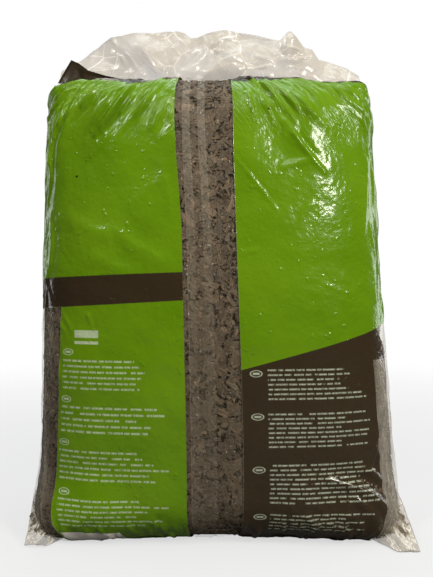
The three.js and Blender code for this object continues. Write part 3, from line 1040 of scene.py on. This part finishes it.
class Block:
    """A block of short pale bars in rows. Its place, width and the pitch of its rows are in millimetres."""

    def __init__(self, left, top, width, lines, pitch):
        self.left, self.top, self.width = left * MM, top * MM, width * MM
        self.lines, self.pitch = lines, pitch * MM

    def mask(self, shader, s, v):
        x = s - self.left
        down = (self.top - v) / self.pitch
        line = down.floor()
        seed = shader.vector(line, self.top * 97)
        end = shader.node("ShaderNodeTexWhiteNoise", {"noise_dimensions": "2D"}, {"Vector": seed})
        end = (end * 0.34 + 0.66) * self.width
        wander = shader.noise(shader.vector(x * 60, line * 7.3, self.top * 50), 1.0, 1.0)
        bar = (x / (13 * MM) + wander * 2.2).part().within(0.0, 0.82, 0.1)
        stroke = shader.noise(shader.vector(x * 480, down * 3, line), 1.0, 1.0).above(0.44, 0.16)
        height = down.part().within(0.28, 0.6, 0.2)
        inside = down.within(0, self.lines, 0.02) * x.above(0) * (end - x).above(0)
        return inside * height * bar * (stroke * 0.7 + 0.3)


BLOCKS = [
    Block(-206, 291.5, 152, 6, 7.3),
    Block(-210, 229.5, 150, 5, 8.0),
    Block(-213, 170.5, 154, 6, 7.4),
    Block(-211, 106.5, 154, 6, 6.9),
    Block(69, 280.5, 142, 7, 6.3),
    Block(68, 222.5, 142, 8, 6.1),
    Block(69, 155.0, 150, 9, 6.2),
    Block(70, 88.5, 136, 5, 6.0),
]
OVALS = [(-197, 299.7), (-200.5, 236.5), (-204, 178.5), (-203, 113), (54, 273.3), (54.5, 216.6),
         (55, 146.6), (57, 82)]
OVAL_WIDTH = 8 * MM
OVAL_HEIGHT = 4.4 * MM
BARS_LEFT = -187 * MM
BARS_RIGHT = -152 * MM
BARS = [(319 * MM, 329 * MM), (310.5 * MM, 314.5 * MM)]
LABEL_SPAN = (-216 * MM, -134 * MM)
LABEL_HEIGHTS = (28 * MM, 54 * MM)


def pale_marks(shader, s, v):
    """The blocks of bars, a small outlined oval beside each block, and two plain bars."""
    total = s.within(BARS_LEFT, BARS_RIGHT) * v.within(*BARS[0]).either(v.within(*BARS[1]))
    for across, height in OVALS:
        x = (s - across * MM) / OVAL_WIDTH
        y = (v - height * MM) / OVAL_HEIGHT
        ring = (x * x + y * y).root().within(0.84, 1.04, 0.14)
        bar = x.size().below(0.55, 0.2) * y.size().below(0.3, 0.3)
        total = total.either(ring.either(bar))
    for block in BLOCKS:
        total = total.either(block.mask(shader, s, v))
    return total


def weld_mask(s, v, drift):
    """The two weld bands, the haze of the lap between them low down, and the lap's pale edge."""
    welded = s - drift * WELD_DRIFT
    weld = welded.within(*LEFT_WELD).either(welded.within(*RIGHT_WELD))
    weld = weld * (v.above(450 * MM, 260 * MM) * 0.5 + 0.5)
    lap = welded.within(LEFT_WELD[0], RIGHT_WELD[1]) * v.below(400 * MM, 300 * MM) * 0.35
    edge = welded.within(LEFT_WELD[0] - 0.6 * MM, LEFT_WELD[0] + 0.8 * MM) * 1.2
    return weld.either(lap).either(edge)


def print_masks(shader, s, v):
    """Where the film is clear, where it is dark, and where the weld bands are."""
    drift = shader.soft_step(v, DRIFT_FROM, DRIFT_TO)
    strip = (s - drift * STRIP_DRIFT).above(STRIP_LEFT) * s.below(STRIP_RIGHT)
    band_foot = (s - STRIP_LEFT) * BAND_FOOT_SLOPE + BAND_FOOT
    band_top = (s - STRIP_LEFT) * BAND_TOP_SLOPE + BAND_TOP
    slant = s * SLANT_SLOPE + (SLANT_START - SLANT_SLOPE * STRIP_RIGHT)

    left_edge = (v - BAND_FOOT) * LEFT_EDGE_SLOPE + LEFT_PANEL_EDGE
    left_margin = (v - band_foot).below(0) * (s - left_edge).below(0) * s.above(-BACK_PANEL_EDGE)
    right_edge = s - (RIGHT_PANEL_STEP - v) * RIGHT_EDGE_SLOPE
    right_margin = v.below(RIGHT_PANEL_STEP) * right_edge.above(RIGHT_PANEL_EDGE)
    corner_edge = PANEL_CORNER - (v - RIGHT_PANEL_STEP) * PANEL_CORNER_SLOPE
    cut_corner = (s - corner_edge).above(0) * (v - slant).below(0)
    right_margin = right_margin.either(cut_corner) * s.within(0, BACK_PANEL_EDGE)
    clear = strip.either(left_margin.either(right_margin))

    band = (v - band_foot).above(0) * (v - band_top).below(0) * s.within(-BACK_PANEL_EDGE, 0)
    panel = (v - slant).below(0) * s.within(0, BACK_PANEL_EDGE)
    back = s.size().above(BACK_PANEL_EDGE) * v.below(BACK_PANEL_FOOT)
    green_top = GREEN_TOP
    for middle, width in DIPS:
        dip = (s - middle) / width
        green_top = green_top - shader.maths("EXPONENT", dip * dip * -1.0) * GREEN_TOP_DIP
    dark = band.either(panel.either(back.either((v - green_top).above(0))))
    return clear, dark, weld_mask(s, v, drift) * strip


def film_ink(shader, s, v, place, dark):
    """The printed colours: green in soft patches, dark brown, the pale marks and the bare label."""
    patches = shader.noise(place, 9.0, 3.0)
    ink = shader.mixed(patches.above(0.5, 0.35), GREEN, GREEN_LIGHT)
    ink = shader.mixed(dark, ink, DARK)
    ink = shader.mixed(pale_marks(shader, s, v) * INK_SHARE, ink, INK_PALE)
    return shader.mixed(s.within(*LABEL_SPAN) * v.within(*LABEL_HEIGHTS), ink, LABEL)


def film_sheen_and_dust(shader, s, v, place):
    """Where the clear film is lightened: painted highlight streaks at the sides, a painted sheen along the
    right margin, painted highlights along fine creases, and specks of dust.
    """
    broad = shader.noise(shader.vector(s * 60, v * 8, 0.0), 1.0, 3.0, 0.6).above(0.53, 0.3)
    thin = shader.noise(shader.vector(s * 150, v * 17, 5.0), 1.0, 3.0, 0.6).within(0.492, 0.512, 0.02)
    at_sides = s.size().above(228 * MM, 50 * MM)
    right_side = s.above(RIGHT_PANEL_EDGE, 12 * MM) * s.below(RIGHT_PANEL_EDGE + 90 * MM, 60 * MM)
    # Painted highlight streaks at the sides and a painted sheen down the right margin
    streaks = (broad * 0.4 + thin * 0.45 + 0.12) * at_sides + right_side * 0.3
    # Painted highlights along fine creases
    creases = shader.noise(place, 60.0, 4.0, 0.65).within(0.49, 0.52, 0.03)
    specks = shader.noise(place, 210.0, 1.0).above(0.735, 0.04)
    return streaks.either(creases * 0.22).either(specks * 0.6)


def film_bump(shader, s, v, place, clear, weld):
    """The small relief of the film: dents over the chips, pimples, and wrinkles that fan out at the top."""
    dents = shader.noise(place, 55.0, 2.0, 0.5)
    fine = shader.noise(place, 150.0, 2.0, 0.5)
    pimples = shader.noise(place, 95.0, 1.0, 0.5).above(0.72, 0.1)
    squiggles = shader.noise(place, 85.0, 4.0, 0.7) * clear
    fan = s.size() + v * FAN_SLOPE
    wrinkles = shader.noise(shader.vector(fan * 130, v * 16, 2.0), 1.0, 3.0, 0.6)
    wrinkles = wrinkles.within(0.47, 0.53, 0.05) * v.above(625 * MM, 110 * MM)
    relief = dents * 0.9 + fine * 0.5 + pimples * 0.4 + weld * 0.25 + squiggles * 0.6 + wrinkles * 0.4
    return shader.bump(relief, strength=0.8, distance=1.4 * MM)


def vent_mask(s, v):
    """1 inside the needle vents."""
    total = None
    for across, height in VENTS:
        x, y = s - across, v - height
        dot = (x * x + y * y).root().below(VENT_RADIUS, 0.4 * MM)
        total = dot if total is None else total.either(dot)
    return total


def printed_film():
    """Polythene printed in green and dark brown, clear in the strip and at the sides."""
    shader = Shader("printed_film")
    s, v, _ = shader.parts(shader.node("ShaderNodeUVMap", {"uv_map": "film"}))
    place = shader.place()
    clear, dark, weld = print_masks(shader, s, v)
    sheen_and_dust = film_sheen_and_dust(shader, s, v, place)
    # The veil turns pale under the painted highlights and sheen, and in the weld bands
    veil = shader.mixed(sheen_and_dust.either(weld * 0.2), VEIL, VEIL_WHITE)
    colour = shader.mixed(clear, film_ink(shader, s, v, place, dark), veil)
    ticks = shader.noise(shader.vector(s * 40, v * 260, 0.0), 1.0, 2.0) * 0.7 + 0.65
    veiled = sheen_and_dust * SHEEN_AND_DUST_SHARE + weld * ticks * WELD_SHARE + VEIL_SHARE
    alpha = ((1 - clear) + clear * veiled) * (1 - vent_mask(s, v))
    bump = film_bump(shader, s, v, place, clear, weld)
    rough = shader.noise(place, 30.0, 2.0) * 0.1 + 0.13
    return shader.finish(Base_Color=colour, Roughness=rough, Alpha=alpha, Normal=bump, IOR=FILM_IOR,
                         Specular_IOR_Level=FILM_GLOSS)


def loose_film(name, low, high, streaked=False):
    """Clear polythene that is free of the fill, milky between two tones, with painted highlights along its
    creases.
    """
    shader = Shader(name)
    place = shader.place()
    cloud = shader.noise(place, 16.0, 2.0)
    cells = {"Vector": place, "Scale": 26.0}
    facets = shader.parts(shader.node("ShaderNodeTexVoronoi", {}, cells, output=1))[0]
    creases = shader.node("ShaderNodeTexVoronoi", {"feature": "DISTANCE_TO_EDGE"}, cells)
    # Painted highlights: the creases are paler and more opaque
    creases = creases.below(0.02, 0.05) * shader.noise(place, 14.0, 1.0).above(0.5, 0.15)
    colour = shader.mixed(creases * 0.7, shader.mixed(cloud, low, high), (0.80, 0.77, 0.70))
    alpha = cloud * 0.16 + facets * 0.14 + creases * 0.2 + 0.26
    if streaked:
        x, _, z = shader.parts(place)
        out = x.size()
        run = shader.vector((out * 0.77 + z * 0.64) * 170, (z * 0.77 - out * 0.64) * 26, 0.0)
        # Painted highlight streaks along the corners' wrinkles
        streaks = shader.noise(run, 1.0, 3.0, 0.6).within(0.5, 0.54, 0.03)
        colour = shader.mixed(streaks * 0.8, colour, (0.78, 0.74, 0.66))
        alpha = alpha * 0.9 + streaks * 0.35
    bump = shader.bump(shader.noise(place, 90.0, 2.0, 0.5), strength=0.35, distance=1.0 * MM)
    return shader.finish(Base_Color=colour, Roughness=0.2, Alpha=alpha, Normal=bump, IOR=FILM_IOR)


def dark_film():
    """The dark printed film of the tuck, seen from both sides."""
    shader = Shader("dark_film")
    bump = shader.bump(shader.noise(shader.place(), 90.0, 2.0, 0.5), strength=0.4, distance=1.0 * MM)
    return shader.finish(Base_Color=(*DARK, 1), Roughness=0.3, Normal=bump, IOR=FILM_IOR,
                         Specular_IOR_Level=FILM_GLOSS)


# The dyes of the chips, from most of them to the lightest, and at the end a pale colour painted on a few
# crumbs as glints
CHIP_DYES_AND_GLINTS = [(0.0, (0.046, 0.028, 0.011)), (0.45, (0.082, 0.051, 0.021)), (0.88, (0.128, 0.079, 0.036)),
             (0.985, (0.19, 0.118, 0.066)), (1.0, (0.46, 0.35, 0.21))]
GRAIN_DARK = (0.024, 0.015, 0.008)
# Painted shade: the colour that darkens the chips low in the bag
LOW_PAINTED_SHADE = (0.030, 0.020, 0.011)
BED_LOW = (0.058, 0.038, 0.020)
BED_HIGH = (0.098, 0.064, 0.035)


def dyed_chips():
    """Brown dyed wood, each chip with its own tone, a fine grain along it, painted shade low in the bag, and
    painted glints on a few crumbs.
    """
    shader = Shader("dyed_chips")
    tint = shader.node("ShaderNodeAttribute", {"attribute_name": "tint"}, output=2)
    along, across, _ = shader.parts(shader.node("ShaderNodeUVMap", {"uv_map": "grain"}))
    grain = shader.noise(shader.vector(along * 90, across * 620, 0.0), 1.0, 3.0, 0.7)
    colour = shader.mixed(grain.above(0.5, 0.22) * 0.75, shader.ramp(tint, CHIP_DYES_AND_GLINTS), GRAIN_DARK)
    _, _, height = shader.parts(shader.place())
    # Painted shade: the chips are darkened towards the bottom of the bag
    colour = shader.mixed(height.below(0.24, 0.4) * 0.55, colour, LOW_PAINTED_SHADE)
    bump = shader.bump(grain, strength=0.6, distance=0.4 * MM)
    return shader.finish(Base_Color=colour, Roughness=0.75, Normal=bump)


def packed_fill():
    """The shaded depth of the fill between the chips."""
    shader = Shader("packed_fill")
    flakes = shader.node("ShaderNodeTexVoronoi", {}, {"Vector": shader.place(), "Scale": 110.0}, output=1)
    tone = shader.parts(flakes)[0]
    bump = shader.bump(tone, strength=0.8, distance=2 * MM)
    return shader.finish(Base_Color=shader.mixed(tone, BED_LOW, BED_HIGH), Roughness=0.85, Normal=bump)


# The studio

def light_paths(shader):
    """1 for rays that show the background itself, and 1 for those that are reflections."""
    path = shader.node("ShaderNodeLightPath").socket.node.outputs
    camera, glossy, through = (Value(shader, path[name]) for name in
                               ("Is Camera Ray", "Is Glossy Ray", "Is Transmission Ray"))
    return camera.either(through), glossy


def studio_floor():
    """A pale floor that keeps the bag's shadow and fades to white further out."""
    turns = np.linspace(0, 2 * math.pi, FLOOR_SIDES, endpoint=False)
    vertices = [(FLOOR_RADIUS * math.sin(turn), -FLOOR_RADIUS * math.cos(turn), 0) for turn in turns]
    floor = mesh_object("studio_floor", vertices, [list(range(FLOOR_SIDES))])
    shader = Shader("studio_floor")
    x, y, _ = shader.parts(shader.place())
    far = shader.soft_step((x * x + y * y).root(), *FLOOR_FADE, *FLOOR_WHITE)
    seen, _ = light_paths(shader)
    tone = shader.mixed(seen, FLOOR_BOUNCE, FLOOR_PALE)
    pale = shader.principled(Base_Color=tone, Roughness=0.9)
    white = shader.node("ShaderNodeEmission", {}, {"Color": WHITE, "Strength": 1.0})
    mixed = shader.node("ShaderNodeMixShader", {}, {0: far * seen, 1: pale, 2: white})
    floor.data.materials.append(shader.output(mixed))


def area_lamp(name, place, size, power, colour, target=(0, 0, BODY_HEIGHT / 2)):
    """A rectangular lamp that points at a target, by default the middle of the bag."""
    data = bpy.data.lights.new(name, "AREA")
    data.shape = "RECTANGLE"
    data.size, data.size_y = size
    data.energy = power
    data.color = colour
    lamp = bpy.data.objects.new(name, data)
    bpy.context.scene.collection.objects.link(lamp)
    lamp.location = place
    lamp.rotation_euler = (Vector(target) - Vector(place)).to_track_quat("-Z", "Y").to_euler()


def studio_air():
    """A white background as it is seen, and a dim room for plain light and reflections."""
    world = bpy.data.worlds.new("studio")
    shader = Shader("studio_air", world)
    seen, mirrored = light_paths(shader)
    strength = seen.either((1 - mirrored) * WORLD_LEVEL + mirrored * MIRRORED_LEVEL)
    air = shader.node("ShaderNodeBackground", {}, {"Color": WHITE, "Strength": strength})
    shader.output(air, "ShaderNodeOutputWorld")
    bpy.context.scene.world = world


def studio_lights():
    """A small hard key at the right, soft lamps from above, a narrow one at the left and weak ones behind."""
    area_lamp("key", (1.32, -1.52, 1.36), (0.55, 0.5), 50, (1.0, 0.97, 0.88), target=(0.1, 0, 0.45))
    area_lamp("fill", (-1.1, -1.35, 2.6), (1.2, 1.2), 15, WARM_WHITE)
    area_lamp("glint", (-1.0, -1.3, 1.9), (0.1, 0.7), 18, (1.0, 0.98, 0.92))
    area_lamp("top", (0.1, 0.15, 2.3), (1.6, 1.0), 24, (0.82, 0.94, 1.0))
    area_lamp("front", (0.5, -1.75, 2.7), (1.0, 0.8), 17, WARM_WHITE)
    area_lamp("back", (-0.7, 2.3, 1.7), (1.0, 1.0), 14, WARM_WHITE)
    area_lamp("left_edge", (-1.9, 0.85, 0.8), (0.7, 1.4), 9, COLD_WHITE)
    area_lamp("right_edge", (1.9, 0.85, 0.8), (0.7, 1.4), 12, COLD_WHITE)


def photo_camera():
    data = bpy.data.cameras.new("camera")
    data.sensor_fit = "VERTICAL"
    data.sensor_height = CAMERA_SENSOR
    data.lens = CAMERA_SENSOR * FOCAL_PIXELS / PHOTO_HEIGHT
    camera = bpy.data.objects.new("camera", data)
    bpy.context.scene.collection.objects.link(camera)
    camera.location = (AXIS_X, AXIS_Y - CAMERA_DISTANCE, CAMERA_HEIGHT)
    camera.rotation_euler = (math.pi / 2, 0, 0)
    bpy.context.scene.camera = camera


def dress(piece, material, node):
    piece.data.materials.append(material)
    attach(piece, "root")
    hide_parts(node)


def dress_film(surface):
    """The film: the filled tube, the header, the tuck and the two loose corners."""
    header_film = loose_film("header_film", (0.31, 0.248, 0.163), (0.39, 0.328, 0.235))
    # Painted shade: the corners' film is the same polythene as the header's, coloured darker, the left corner
    # darkest
    left_film = loose_film("left_corner_film_shaded", (0.115, 0.092, 0.06), (0.20, 0.163, 0.113), streaked=True)
    right_film = loose_film("right_corner_film_shaded", (0.24, 0.195, 0.13), (0.36, 0.305, 0.215), streaked=True)
    for piece, material in (
            (make_body(*surface), printed_film()),
            (make_header(), header_film),
            (make_shoulder_tuck(), dark_film()),
            (make_ear("left_ear", LEFT_EAR, 70), left_film),
            (make_ear("right_ear", RIGHT_EAR, 80), right_film)):
        dress(piece, material, "bag_film")


def dress_fill(surface):
    """The fill: its dark bed, the chips and crumbs under the film, and the chips in the corners."""
    dress(make_bed(*surface), packed_fill(), "wood_chips")
    chip_wood = dyed_chips()
    for piece in (make_chips("loose_chips", 7, CHIP_COUNT, CHIP_LENGTH, 1.0, surface),
                  make_chips("crumbs", 8, CRUMB_COUNT, CRUMB_LENGTH, 0.85, surface),
                  make_corner_chips()):
        dress(piece, chip_wood, "wood_chips")


def main():
    photo_camera()
    turns = even_turns()
    points = body_points(body_rows(), turns)
    s, v = film_coordinates(points)
    surface = (points, ring_normals(points), s, v)
    hollows = hollow_depth(np.arange(len(points))[:, None], turns[None, :])
    dress_film(surface)
    dress_fill((*surface, hollows))
    studio_floor()
    studio_air()
    studio_lights()
    bpy.context.scene.view_settings.view_transform = "Standard"


main()
